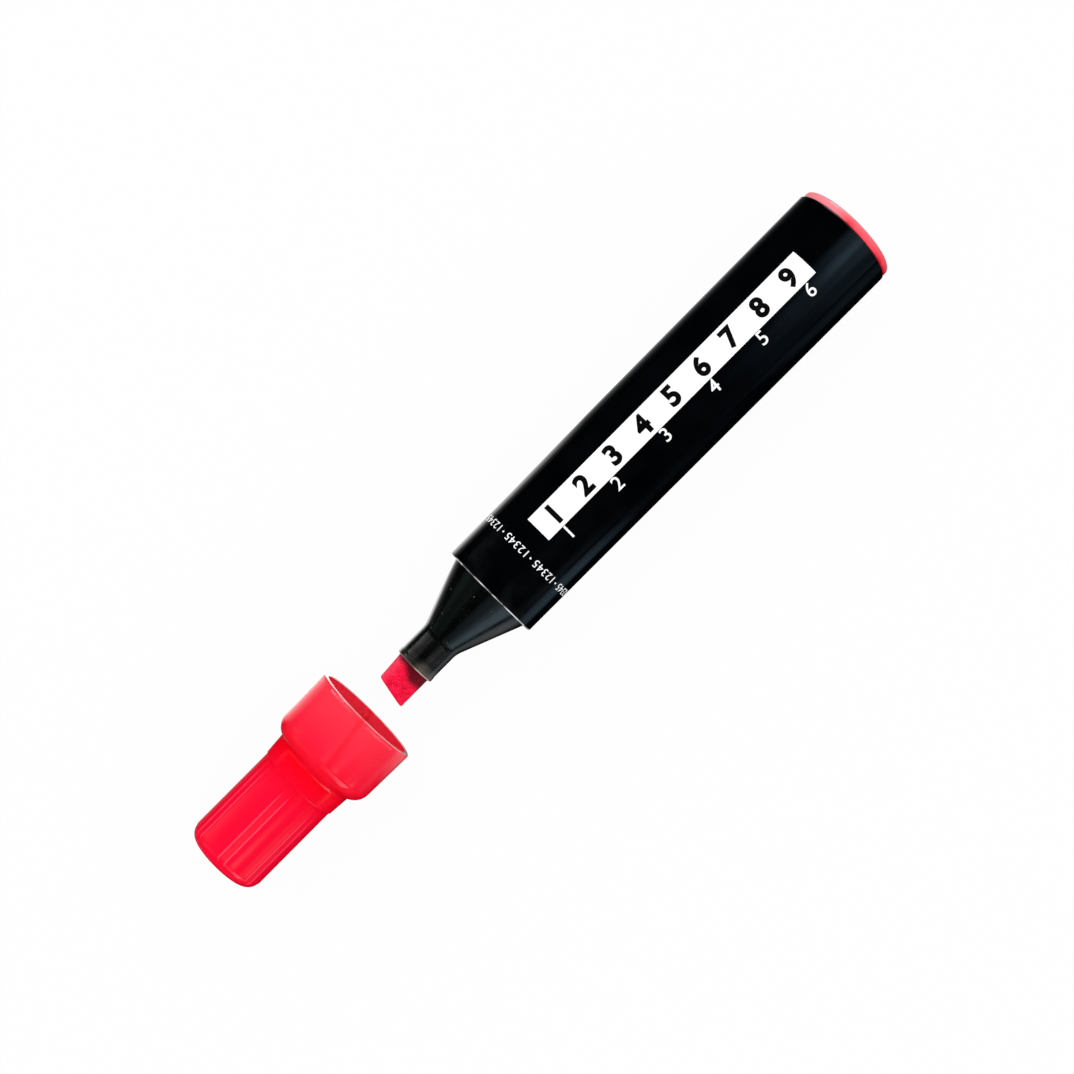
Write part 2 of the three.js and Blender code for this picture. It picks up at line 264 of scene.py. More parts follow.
around = np.linspace(0, 2 * math.pi, 256, endpoint=False)
front_socket = barrel_front_radius - socket_wall
rear_socket = barrel_rear_radius - socket_wall
front_bore = barrel_front_radius - bore_wall
rear_bore = barrel_rear_radius - bore_wall
barrel_outline = rounded_profile([
    (front_bore + 0.1, 40),
    (front_bore, socket_depth, 0.1, 2),
    (front_socket, socket_depth, 0.1, 2),
    (front_socket, 0, 0.12, 3),
    (barrel_front_radius, 0, 0.25, 6),
    (barrel_rear_radius, barrel_length, 0.25, 6),
    (rear_socket, barrel_length, 0.12, 3),
    (rear_socket, barrel_length - socket_depth, 0.1, 2),
    (rear_bore, barrel_length - socket_depth, 0.1, 2),
    (front_bore + 0.2, 60),
])
barrel_outline = spread(barrel_outline, 3)
barrel_grid = turned_grid(barrel_outline[:, 0], barrel_outline[:, 1], around)
barrel_piece = closed_surface("barrel_tube", barrel_grid, ring=True)
finish_piece(barrel_piece, polished_black_polypropylene(), "marker", "barrel_plastic", "barrel")

# Nose
# The cone that holds the nib is satin black plastic, from a mould whose steel was lightly eroded by sparks.
# It is pressed into the barrel's front socket, and its neck has a snap lip round the slot for the nib.
nose_length = 20.4
neck_radius = 4.15
lip_radius = 4.25
lip_length = 0.9
lip_taper_end = 1.3
slot_face_radius = lip_radius - 0.5
cone_radius = 9.3
cone_angle = math.radians(21.5)
cone_corner = -(cone_radius - neck_radius) / math.tan(cone_angle)
slot_end = -8.4
cone_wall = 1.3
cavity_radius = cone_radius - cone_wall / math.cos(cone_angle)
flange = 0.3
spigot_radius = 9.45
spigot_end = 6.45
chamfer_radius = 9.05
chamfer_start = 6.05
nib_width = 7.3
nib_thickness = 4.6
nib_corner = 1.5


def rounded_section(half_width, half_height, corner, per_corner=12, per_side=14):
    """Rectangle with rounded corners as points in Y and Z, from the middle of a side once round: straight sides
    in even steps, and at each corner a quarter circle about a centre one corner radius inside both sides."""
    quarter = np.linspace(0, math.pi / 2, per_corner)
    points = []
    for turn in range(4):
        wide, high = (half_width, half_height) if turn % 2 == 0 else (half_height, half_width)
        side = np.stack([np.full(per_side, wide), np.linspace(-high + corner, high - corner, per_side)], -1)
        bend = np.stack([wide - corner + corner * np.cos(quarter), high - corner + corner * np.sin(quarter)], -1)
        part = np.concatenate([side[:-1], bend[:-1]])
        angle = turn * math.pi / 2
        rotation = np.array([[math.cos(angle), math.sin(angle)], [-math.sin(angle), math.cos(angle)]])
        points.append(part @ rotation)
    return np.concatenate(points)


slot_section = rounded_section(nib_width / 2 + 0.05, nib_thickness / 2 + 0.05, nib_corner + 0.05)
slot_angles = np.arctan2(slot_section[:, 0], slot_section[:, 1]) % (2 * math.pi)
slot_order = np.argsort(slot_angles)
nose_angles = np.sort(np.concatenate([slot_angles, np.linspace(0, 2 * math.pi, 96, endpoint=False) + 0.011]))
slot_radius = np.interp(
    nose_angles, slot_angles[slot_order], np.hypot(*slot_section[slot_order].T), period=2 * math.pi)
nose_outline = rounded_profile([
    (slot_face_radius, -nose_length),
    (lip_radius, -nose_length, 0.22, 5),
    (lip_radius, -nose_length + lip_length, 0.3, 4),
    (neck_radius, -nose_length + lip_taper_end, 0.5, 4),
    (neck_radius, cone_corner, 5, 12),
    (cone_radius, 0, 0.15, 4),
    (cone_radius, flange, 0.05, 2),
    (spigot_radius, flange, 0.05, 2),
    (spigot_radius, chamfer_start, 0.05, 2),
    (chamfer_radius, spigot_end, 0.05, 2),
    (cavity_radius, spigot_end, 0.05, 2),
    (cavity_radius, 0, 0.5, 3),
    (cavity_radius + slot_end * math.tan(cone_angle), slot_end),
])
nose_outline = spread(nose_outline, 1.2)
turned_rows = nose_outline[:, :1] * np.ones(len(nose_angles))
slot_rows = slot_radius * np.ones((3, 1))
face_share = np.array([0.06, 0.3, 0.6, 0.85])[:, None]
face_rows = slot_radius * (1 - face_share) + slot_face_radius * face_share
nose_radius = np.concatenate([slot_rows, face_rows, turned_rows])
nose_station = np.concatenate([
    [slot_end, -nose_length + 1, -nose_length + 0.1], np.full(4, -float(nose_length)), nose_outline[:, 1]])
nose_piece = closed_surface("nose_cone", turned_grid(nose_radius, nose_station, nose_angles), ring=True)


def spark_eroded_black_plastic():
    """Satin black plastic from a spark-eroded mould: a fine even grain of about 0.1 mm, drawn at 0.3 mm so that
    it shows, which spreads reflections into a soft sheen. Round the lip, dried ink and fibre dust have left a
    brownish grey film, and its front edge carries a painted highlight, a pale band strongest on the side
    towards −Y. A few specks of dust, about 0.2 mm, lie on it."""
    material, tree, place = empty_material("black_plastic_spark_eroded")
    grain, cloud, speck = [
        add(tree, "TexNoise", {"Vector": place, "Scale": 1 / (size * MM), "Detail": detail})
        for size, detail in ((0.3, 3.0), (1.8, 4.0), (0.35, 0.0))]
    colour = add(tree, "ValToRGB", {"Fac": cloud}, stops=[(0.35, "#010202"), (0.7, "#050707")])
    x, y, _ = add(tree, "SeparateXYZ", {"Vector": place}).outputs
    ragged = add(tree, "Math", {0: cloud, 1: 1.6 * MM, 2: x}, times_and_plus)
    lip_x = rim_x - nose_length
    film = add(tree, "MapRange", {
        "Value": ragged, "From Min": (lip_x + 1.5) * MM, "From Max": (lip_x + 3.4) * MM,
        "To Min": 1.0, "To Max": 0.0}, smooth)
    beside = add(tree, "MapRange", {
        "Value": y, "From Min": 0.6 * MM, "From Max": -1.2 * MM, "To Min": 0.2, "To Max": 1.0}, smooth)
    stained = add(tree, "Math", {0: film, 1: beside}, times)
    filmed = add(tree, "Mix", {0: stained, 6: colour, 7: "#4c463e"}, in_colour)
    edge = add(tree, "MapRange", {
        "Value": x, "From Min": (lip_x + 0.15) * MM, "From Max": (lip_x + 0.35) * MM,
        "To Min": 1.0, "To Max": 0.0}, smooth)
    # Painted highlight: the lip's front edge is painted pale, most on the side towards −Y.
    painted_highlight_mask = add(tree, "Math", {0: edge, 1: beside}, times)
    painted_highlights = add(tree, "Mix", {0: painted_highlight_mask, 6: filmed, 7: "#b9aea0"}, in_colour)
    dust = add(tree, "MapRange", {"Value": speck, "From Min": 0.825, "From Max": 0.86, "To Max": 0.5})
    dusty = add(tree, "Mix", {0: dust, 6: painted_highlights, 7: "#8f938f"}, in_colour)
    roughness = add(tree, "MapRange", {
        "Value": cloud, "From Min": 0.3, "From Max": 0.7, "To Min": 0.15, "To Max": 0.24})
    bump = add(tree, "Bump", {"Height": grain, "Strength": 0.3, "Distance": 0.02 * MM})
    shader = add(tree, "BsdfPrincipled", {
        "Base Color": dusty, "Roughness": roughness, "IOR": 1.5,
        "Specular IOR Level": 0.35, "Normal": bump})
    add(tree, "OutputMaterial", {"Surface": shader})
    return material


finish_piece(nose_piece, spark_eroded_black_plastic(), "marker", "nose_plastic", "nose")

# Nib
# A block of polyester felt, pressed hard, cut slantwise at its tip and soaked with red ink. Its tail runs back
# through the nose into the ink fibre. Loose fibre ends catch the light as pale specks.
nib_length = 7.2
nib_tip = -nose_length - nib_length
nib_tail = 12.0
nib_slant = math.tan(math.radians(10.4))
nib_lean = math.tan(math.radians(4)) * nib_length
nib_edge = 0.3
body_share = np.concatenate([[0, 0.002], np.linspace(0.02, 0.7, 18), np.linspace(0.72, 0.995, 40), [1]])
edge_turn = np.linspace(0, math.pi / 2, 7)[1:]
face_scale = np.linspace(0.94, 0, 14)
inset = np.concatenate([
    [nib_edge], np.zeros(len(body_share)), nib_edge * (1 - np.cos(edge_turn)), np.full(len(face_scale), nib_edge)])
inset[1] = nib_edge
scale = np.concatenate([[0], np.ones(len(body_share) + len(edge_turn)), face_scale])
ahead = np.concatenate([
    [0], np.zeros(len(body_share)), nib_edge * np.sin(edge_turn), np.full(len(face_scale), nib_edge)])
along = np.concatenate([[0], body_share, np.ones(len(edge_turn) + len(face_scale))])
nib_sections = np.stack([
    rounded_section(nib_width / 2 - step, nib_thickness / 2 - step, nib_corner - step * 0.5) for step in inset])
nib_y = nib_sections[..., 0] * scale[:, None]
nib_z = nib_sections[..., 1] * scale[:, None]
cut = nib_tip + nib_edge + (nib_y + nib_width / 2) * nib_slant
nib_x = nib_tail + (cut - nib_tail) * along[:, None] - ahead[:, None]
leaning = np.clip((-nose_length - nib_x) / nib_length, 0, 1) * np.clip(nib_y / nib_width + 0.5, 0, 1)
nib_y = nib_y - nib_lean * leaning
nib_grid = np.stack([rim_x + nib_x, nib_y, axis_z + nib_z], -1)
nib_piece = closed_surface("felt_nib", nib_grid)


def inked_polyester_felt():
    """Pressed polyester felt full of red ink: fibres about 0.03 mm thick, drawn at 0.15 mm so that they show,
    lie mostly along the nib. Pits between them are dark and a few wet fibre ends glint pink. A painted shadow
    darkens the felt beside the nose and reaches further from it on the side towards −Y, and a painted
    highlight lightens it along its upper left edge."""
    material, tree, place = empty_material("polyester_felt_inked")
    stretched = add(tree, "Mapping", {"Vector": place, "Scale": (0.4, 1.0, 1.0)})
    fibre = add(tree, "TexNoise", {"Vector": stretched, "Scale": 1 / (0.16 * MM), "Detail": 4.0, "Roughness": 0.7})
    cloud = add(tree, "TexNoise", {"Vector": place, "Scale": 1 / (1.3 * MM), "Detail": 3.0})
    speck = add(tree, "TexNoise", {"Vector": place, "Scale": 1 / (0.2 * MM), "Detail": 1.0})
    x, y, _ = add(tree, "SeparateXYZ", {"Vector": place}).outputs
    mixed = add(tree, "Math", {0: cloud, 1: 0.5, 2: fibre}, times_and_plus)
    colour = add(tree, "ValToRGB", {"Fac": mixed}, stops=[
        (0.54, "#a0001e"), (0.65, "#e80032"), (0.78, "#ff0840"), (0.94, "#ff2e58")])
    # Painted highlight: the felt is painted lighter towards its upper left edge.
    painted_highlight_mask = add(tree, "MapRange", {"Value": y, "From Min": 1.2 * MM, "From Max": 3.4 * MM, "To Max": 0.4}, smooth)
    painted_lit_side = add(tree, "Mix", {0: painted_highlight_mask, 6: colour, 7: "#f85c7c"}, in_colour)
    specks = add(tree, "ValToRGB", {"Fac": speck}, stops=[(0.68, (0, 0, 0, 1)), (0.78, (0.6, 0.6, 0.6, 1))])
    dotted = add(tree, "Mix", {0: specks, 6: painted_lit_side, 7: "#ff8fa4"}, in_colour)
    # Painted shadow: the felt is painted dark beside the nose, reaching further from it on the side towards −Y.
    reach = add(tree, "MapRange", {
        "Value": y, "From Min": 2.2 * MM, "From Max": -1.4 * MM, "To Max": 1.9 * MM}, smooth)
    spreading = add(tree, "Math", {0: x, 1: reach}, {"operation": "ADD"})
    ragged = add(tree, "Math", {0: cloud, 1: 1.6 * MM, 2: spreading}, times_and_plus)
    lip_x = rim_x - nose_length
    painted_shadow_mask = add(tree, "MapRange", {
        "Value": ragged, "From Min": (lip_x - 0.7) * MM, "From Max": (lip_x + 1.0) * MM,
        "To Max": 0.9}, smooth)
    painted_shadow = add(tree, "Mix", {0: painted_shadow_mask, 6: dotted, 7: "#48020f"}, in_colour)
    bump = add(tree, "Bump", {"Height": mixed, "Strength": 0.6, "Distance": 0.08 * MM})
    shader = add(tree, "BsdfPrincipled", {
        "Base Color": painted_shadow, "Roughness": 0.7, "Specular IOR Level": 0.12, "Normal": bump})
    add(tree, "OutputMaterial", {"Surface": shader})
    return material


finish_piece(nib_piece, inked_polyester_felt(), "marker", "nib_felt", "nib")

# Ink reservoir
# A rod of acetate fibre that holds the ink lies in the barrel, wrapped in a clear plastic film so that it slides
# in and doesn't wet the wall. Both shapes are the CAD model's own.


def inked_acetate_fibre():
    """Crimped acetate fibres along the rod, soaked with red ink: strands about 0.05 mm thick, drawn at 0.3 mm."""
    material, tree, place = empty_material("acetate_fibre_inked")
    stretched = add(tree, "Mapping", {"Vector": place, "Scale": (0.08, 1.0, 1.0)})
    strand = add(tree, "TexNoise", {"Vector": stretched, "Scale": 1 / (0.3 * MM), "Detail": 3.0})
    colour = add(tree, "ValToRGB", {"Fac": strand}, stops=[
        (0.3, "#7d0a1e"), (0.5, "#b5122e"), (0.7, "#d9526a")])
    bump = add(tree, "Bump", {"Height": strand, "Strength": 0.7, "Distance": 0.1 * MM})
    shader = add(tree, "BsdfPrincipled", {
        "Base Color": colour, "Roughness": 0.85, "Sheen Weight": 0.3, "Normal": bump})
    add(tree, "OutputMaterial", {"Surface": shader})
    return material


def clear_polypropylene_film():
    """Thin clear film wrapped round the rod: see-through, with fine draw lines along it that scatter light."""
    material, tree, place = empty_material("polypropylene_film_clear")
    stretched = add(tree, "Mapping", {"Vector": place, "Scale": (0.02, 1.0, 1.0)})
    line = add(tree, "TexNoise", {"Vector": stretched, "Scale": 1 / (0.5 * MM), "Detail": 2.0})
    roughness = add(tree, "MapRange", {"Value": line, "To Min": 0.08, "To Max": 0.3})
    bump = add(tree, "Bump", {"Height": line, "Strength": 0.2, "Distance": 0.02 * MM})
    shader = add(tree, "BsdfPrincipled", {
        "Base Color": "#eceef0", "Roughness": roughness, "IOR": 1.49,
        "Transmission Weight": 0.9, "Normal": bump})
    add(tree, "OutputMaterial", {"Surface": shader})
    return material


for node_name, node_material in (
        ("reservoir_core", inked_acetate_fibre()), ("reservoir_wrap", clear_polypropylene_film())):
    node_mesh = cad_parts[node_name].data
    node_mesh.materials.clear()
    node_mesh.materials.append(node_material)

# End plug
# The same red polypropylene as the cap, moulded in a cup with crossed ribs and pressed into the rear socket.
# Its rounded flange stands out of the barrel and shows the ink's colour from behind.
plug_rear = barrel_length + 1.8
plug_flange = barrel_rear_radius - 0.25
plug_skirt = rear_socket - 0.05
plug_bore = plug_skirt - 1.2
plug_floor = plug_rear - 1.3
plug_end = barrel_length - 6
plug_chamfer = 0.4
plug_seat = barrel_length + 0.05
plug_outline = rounded_profile([
    (0, plug_floor),
    (plug_bore, plug_floor, 0.3, 3),
    (plug_bore, plug_end, 0.1, 2),
    (plug_skirt - plug_chamfer, plug_end, 0.1, 2),
    (plug_skirt, plug_end + plug_chamfer, 0.1, 2),
    (plug_skirt, plug_seat, 0.05, 2),
    (plug_flange, plug_seat, 0.1, 3),
    (plug_flange, plug_rear, 0.8, 10),
    (0, plug_rear),
])
plug_outline = spread(plug_outline, 1.5)
plug_piece = closed_surface("rear_plug", turned_grid(plug_outline[:, 0], plug_outline[:, 1], around))


def glossy_red_polypropylene(name, stops, painted_highlights, painted_side_shading, welds):
    """Red polypropylene from a polished mould: glossy, slightly see-through, so that thin walls look paler and
    thick or backed ones deeper. Stops give the colour along the piece by its place on the axis in millimetres.
    Painted highlights gives ranges of station and radius that are painted pale as highlights, and how pale.
    Painted side shading gives a colour and the range of Y over which the piece turns to it: painted light that
    makes one side paler, or painted shade that makes it deeper. Welds gives the faint lines where flows of
    plastic met in the mould: where each starts in X and Y, its slope, length and strength."""
    material, tree, place = empty_material(name)
    cloud = add(tree, "TexNoise", {"Vector": place, "Scale": 1 / (7 * MM), "Detail": 3.0})
    fine = add(tree, "TexNoise", {"Vector": place, "Scale": 1 / (0.8 * MM), "Detail": 2.0})
    x, y, _ = add(tree, "SeparateXYZ", {"Vector": place}).outputs
    wobble = add(tree, "Math", {0: cloud, 1: 3 * MM, 2: x}, times_and_plus)
    low, high = stops[0][0] * MM, stops[-1][0] * MM
    share = add(tree, "MapRange", {"Value": wobble, "From Min": low, "From Max": high})
    spots = [((at * MM - low) / (high - low), colour) for at, colour in stops]
    colour = add(tree, "ValToRGB", {"Fac": share}, stops=spots)
    # Painted light or shade on one side: the colour turns to the side colour over a range of Y.
    side_shading_colour, tone_from, tone_to = painted_side_shading
    side_shading_mask = add(tree, "MapRange", {"Value": y, "From Min": tone_from * MM, "From Max": tone_to * MM}, smooth)
    colour = add(tree, "Mix", {0: side_shading_mask, 6: colour, 7: side_shading_colour}, in_colour)
    radius = axis_distance(tree, place)
    # Painted highlights: edges within these ranges are painted pale.
    for station_range, radius_range, pale in painted_highlights:
        along = add(tree, "MapRange", {
            "Value": x, "From Min": station_range[0] * MM, "From Max": station_range[1] * MM}, smooth)
        outwards = add(tree, "MapRange", {
            "Value": radius, "From Min": radius_range[0] * MM, "From Max": radius_range[1] * MM})
        both = add(tree, "Math", {0: along, 1: outwards}, times)
        colour = add(tree, "Mix", {0: both, 6: colour, 7: pale}, in_colour)
    for weld_x, weld_y, slope, length, strength in welds:
        slanting = add(tree, "Math", {0: x, 1: -slope, 2: y}, times_and_plus)
        aside = add(tree, "Math", {0: slanting, 1: (weld_y - slope * weld_x) * MM}, {"operation": "SUBTRACT"})
        apart = add(tree, "Math", {0: aside}, {"operation": "ABSOLUTE"})
        on_line = add(tree, "MapRange", {
            "Value": apart, "From Min": 0.1 * MM, "From Max": 0.9 * MM,
            "To Min": strength, "To Max": 0.0}, smooth)
        on_length = add(tree, "MapRange", {
            "Value": x, "From Min": (weld_x - length) * MM, "From Max": (weld_x - length + 2) * MM}, smooth)
        welded = add(tree, "Math", {0: on_line, 1: on_length}, times)
        colour = add(tree, "Mix", {0: welded, 6: colour, 7: "#f4001e"}, in_colour)
    roughness = add(tree, "MapRange", {
        "Value": cloud, "From Min": 0.35, "From Max": 0.7, "To Min": 0.05, "To Max": 0.1})
    bump = add(tree, "Bump", {"Height": fine, "Strength": 0.1, "Distance": 0.012 * MM})
    shader = add(tree, "BsdfPrincipled", {
        "Base Color": colour, "Roughness": roughness, "IOR": 1.49,
        "Subsurface Weight": 0.3, "Subsurface Radius": (1.0, 0.25, 0.3), "Subsurface Scale": 0.8 * MM,
        "Normal": bump})
    add(tree, "OutputMaterial", {"Surface": shader})
    return material


# The plug's stops paint shade as deep red where the flange meets the barrel and grade to pale salmon towards the
# rear, partly the thin flange's own paler tone and partly painted reflection. Its side colour is painted light
# that makes the upper left half paler.
plug_red = glossy_red_polypropylene("red_polypropylene_plug", [
    (rim_x + plug_end, "#e8102c"), (rim_x + barrel_length + 1.5, "#d81c34"),
    (rim_x + barrel_length + 1.9, "#fd4754"), (rim_x + plug_rear + 1.5, "#ff6f7a")],
    [], ("#ff8f98", 0.5, 5), [])
finish_piece(plug_piece, plug_red, "marker", "red_plastic", "end_plug")

# Plug ribs
# Two plates cross in the plug's cup. They stiffen its floor and hold back the ink fibre.
rib_end = barrel_length - 6.6


def plate(half_width, half_height, corner, stations):
    """Upright plate with rounded edges: one rounded section at each station, closed by a pole at both ends."""
    section = rounded_section(half_width, half_height, corner, 5, 4)
    size = np.ones(len(stations))
    size[[0, -1]] = 0
    y = section[:, 0] * size[:, None]
    z = section[:, 1] * size[:, None]
    return np.stack([rim_x + stations[:, None] + 0 * y, y, axis_z + z], -1)


rib_stations = np.array([rib_end, rib_end, rib_end + 0.1, plug_floor + 0.6, plug_floor + 0.7, plug_floor + 0.7])
rib_reach = plug_bore + 0.4
for rib_name, rib_width, rib_height in (("plug_rib_level", rib_reach, 0.5), ("plug_rib_upright", 0.5, rib_reach)):
    rib_piece = closed_surface(rib_name, plate(rib_width, rib_height, 0.2, rib_stations))
    finish_piece(rib_piece, plug_red, "marker", "red_plastic")

# Print on the barrel
# One pass of opaque screen ink, white and black, cured a few hundredths of a millimetre thick: a long stripe
# with bold plain figures, a row of thin figures beside it, and a ring of small figures in fives at the front.
ink_lift = 0.02
ink_depth = 0.04
overprint_lift = 0.035
overprint_depth = 0.03
stripe_start = 14.75
stripe_end = 85.6
stripe_middle = math.radians(8.8)
stripe_half = math.radians(15.2)


def on_barrel(station, angle, lift):
    """Point on the barrel at a station and an angle from the top, raised by a lift: its radius grows evenly
    from the front radius to the rear one."""
    radius = barrel_front_radius + (barrel_rear_radius - barrel_front_radius) * station / barrel_length + lift
    return np.stack([rim_x + station, radius * np.sin(angle), axis_z + radius * np.cos(angle)], -1)


def printed_patches(name, patches, lift):
    """One mesh of ink patches, each given by its stations and angles, as grids on the barrel with their faces out.
    A grid has a row at most every 3 mm along the barrel and a column at most every 0.4 mm round it."""
    points, faces, count = [], [], 0
    for start, end, low, high in patches:
        rows = max(2, math.ceil((end - start) / 3) + 1)
        columns = max(2, math.ceil((high - low) * barrel_front_radius / 0.4) + 1)
        station, angle = np.meshgrid(np.linspace(start, end, rows), np.linspace(low, high, columns), indexing="ij")
        points.append(on_barrel(station, angle, lift).reshape(-1, 3))
        i, j = np.meshgrid(np.arange(rows - 1), np.arange(columns - 1), indexing="ij")
        corner = count + i * columns + j
        quads = np.stack([corner, corner + columns, corner + columns + 1, corner + 1], -1)
        faces.extend(quads.reshape(-1, 4).tolist())
        count += rows * columns
    return link_mesh(name, np.concatenate(points), faces)


def thicken(piece, depth):
    """Gives a sheet of ink its thickness inwards. Its border is marked sharp, so that its face shades evenly."""
    mesh = piece.data
    edges = np.zeros(len(mesh.loops), int)
    mesh.loops.foreach_get("edge_index", edges)
    mesh.edges.foreach_set("use_edge_sharp", np.bincount(edges, minlength=len(mesh.edges)) == 1)
    solid = piece.modifiers.new("ink", "SOLIDIFY")
    solid.thickness = depth * MM
    solid.offset = -1


def screen_ink(name, deep, pale):
    """Cured screen ink: a dull, opaque film with tiny pinholes and an uneven laydown, which scatters light evenly
    and hardly shines."""
    material, tree, place = empty_material(name)
    cloud = add(tree, "TexNoise", {"Vector": place, "Scale": 1 / (2.5 * MM), "Detail": 4.0})
    fine = add(tree, "TexNoise", {"Vector": place, "Scale": 1 / (0.25 * MM), "Detail": 2.0})
    colour = add(tree, "ValToRGB", {"Fac": cloud}, stops=[(0.35, deep), (0.65, pale)])
    bump = add(tree, "Bump", {"Height": fine, "Strength": 0.1, "Distance": 0.01 * MM})
    shader = add(tree, "BsdfPrincipled", {
        "Base Color": colour, "Roughness": 0.45, "Specular IOR Level": 0.12, "Normal": bump})
    add(tree, "OutputMaterial", {"Surface": shader})
    return material


white_ink = screen_ink("screen_ink_white", "#f8f9f9", "#ffffff")
black_ink = screen_ink("screen_ink_black", "#020203", "#060708")
stripe_piece = printed_patches("print_stripe", [
    (stripe_start, stripe_end, stripe_middle - stripe_half, stripe_middle + stripe_half)], ink_lift)


def flat_points(mesh):
    """Points of a flat mesh in X and Y."""
    places = np.zeros(len(mesh.vertices) * 3)
    mesh.vertices.foreach_get("co", places)
    return places.reshape(-1, 3)[:, :2]


def plain_figures(text, height, weight, cuts, spacing=1.0):
    """Flat mesh of plain figures as points in millimetres about their middle and faces turned up, with strokes
    made heavier by the weight. It is cut square to U (0) or V (1) every half millimetre, so that it can bend."""
    curve = bpy.data.curves.new("figures", "FONT")
    curve.body = text
    curve.offset = weight
    curve.space_character = spacing
    curve.resolution_u = 6
    holder = link_object("figures", curve)
    bpy.context.view_layer.update()
    flat_mesh = bpy.data.meshes.new_from_object(holder.evaluated_get(bpy.context.evaluated_depsgraph_get()))
    bpy.data.objects.remove(holder)
    bpy.data.curves.remove(curve)
    points = flat_points(flat_mesh)
    low, high = points.min(0), points.max(0)
    grow = height / (high[1] - low[1])
    normal = (1, 0, 0) if cuts == 0 else (0, 1, 0)
    shape = bmesh.new()
    shape.from_mesh(flat_mesh)
    for place in np.arange(low[cuts], high[cuts], 0.5 / grow)[1:]:
        geometry = shape.verts[:] + shape.edges[:] + shape.faces[:]
        spot = (place, 0, 0) if cuts == 0 else (0, place, 0)
        bmesh.ops.bisect_plane(shape, geom=geometry, plane_co=spot, plane_no=normal)
    shape.to_mesh(flat_mesh)
    shape.free()
    points = (flat_points(flat_mesh) - (low + high) / 2) * grow
    faces = [list(face.vertices) for face in flat_mesh.polygons if face.area > 1e-8]
    bpy.data.meshes.remove(flat_mesh)
    return points, faces


def join_figures(name, marks, lift):
    """One mesh of figures on the barrel, from parts given as (stations, angles, faces)."""
    points, faces, count = [], [], 0
    for station, angle, part in marks:
        points.append(on_barrel(station, angle, lift))
        faces.extend([[vertex + count for vertex in face] for face in part])
        count += len(station)
    return link_mesh(name, np.concatenate(points), faces)


bold_marks = []
bold_start, bold_pitch, bold_height, bold_radius = 18.9, 7.8, 4.3, 11
for index in range(9):
    flat, faces = plain_figures(str(index + 1), bold_height, 0.042, 1)
    bold_marks.append((
        bold_start + bold_pitch * index + flat[:, 0], stripe_middle + flat[:, 1] / bold_radius, faces))

thin_marks = []
thin_middle = math.radians(-14.4)
thin_start, thin_pitch, thin_height, thin_radius = 18.56, 12.82, 2.85, 10.95
for index in range(6):
    flat, faces = plain_figures(str(index + 1), thin_height, 0.004, 1)
    thin_marks.append((
        thin_start + thin_pitch * index + flat[:, 0], thin_middle + flat[:, 1] / thin_radius, faces))

ring_station = 9.95
ring_groups = 9
ring_height = 1.55
ring_marks, ring_dots = [], []
for group in range(ring_groups):
    middle = 2 * math.pi * (group + 0.35) / ring_groups
    flat, faces = plain_figures("12345", ring_height, 0.0, 0, 1.1)
    ring_marks.append((ring_station - flat[:, 1], middle + flat[:, 0] / barrel_front_radius, faces))
    dot = middle + math.pi / ring_groups
    half = 0.17
    turn = half / barrel_front_radius
    ring_dots.append((ring_station - half, ring_station + half, dot - turn, dot + turn))

for sheet, depth, ink in (
        (stripe_piece, ink_depth, white_ink),
        (join_figures("print_figures", bold_marks, overprint_lift), overprint_depth, black_ink),
        (join_figures("print_thin_figures", thin_marks, ink_lift), ink_depth, white_ink),
        (join_figures("print_ring_figures", ring_marks, ink_lift), ink_depth, white_ink),
        (printed_patches("print_ring_dots", ring_dots, ink_lift), ink_depth, white_ink)):
    thicken(sheet, depth)
    finish_piece(sheet, ink, "marker", "barrel_plastic")

# Cap
# Red polypropylene, moulded in one: a wide collar with thin walls, a round shoulder, a neck ring, and a grip with
# fine ridges in pairs. It clicks over the neck of the nose and covers the front of the barrel's rim.
cap_low, cap_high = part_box("cap_shell")
mouth_station = cap_high.x / MM - rim_x
mouth_radius = 11.32
collar_bore = 10.25
shoulder_top = 11.09
shoulder_radius = 3.45
collar_length = 10.7
ring_radius = 8.8
grip_radius = 8.14
cap_length = (cap_high.x - cap_low.x) / MM
cap_floor = 38.3
end_fillet = 2.4
grip_start = 18.45
grip_bore = 6.94
seat_radius = 7.35
seat_station = 17.15
hollow_middle = 7.64
hollow_radius = 2.35
shoulder_sweep = math.acos(1 - (shoulder_top - ring_radius) / shoulder_radius)
ring_start = collar_length + shoulder_radius * math.sin(shoulder_sweep)
ridge_half = math.radians(2.2)
ridge_height = 0.2
ridge_aside = math.radians(5.5)
pair_centres = 2 * math.pi * np.arange(7) / 7
ridge_centres = np.concatenate([pair_centres - ridge_aside, pair_centres + ridge_aside])
cap_angles = np.unique(np.round(np.concatenate([
    np.linspace(0, 2 * math.pi, 192, endpoint=False),
    (ridge_centres[:, None] + ridge_half * 1.15 * np.linspace(-1, 1, 15)).ravel() % (2 * math.pi)]), 5))
sweep = np.linspace(shoulder_sweep, 0, 16)
shoulder = np.stack([
    shoulder_top - shoulder_radius + shoulder_radius * np.cos(sweep),
    collar_length + shoulder_radius * np.sin(sweep)], -1)
quarter = np.linspace(0, math.pi / 2, 12)
hollow = np.stack([
    hollow_middle + hollow_radius * np.cos(quarter), collar_length + hollow_radius * np.sin(quarter)], -1)
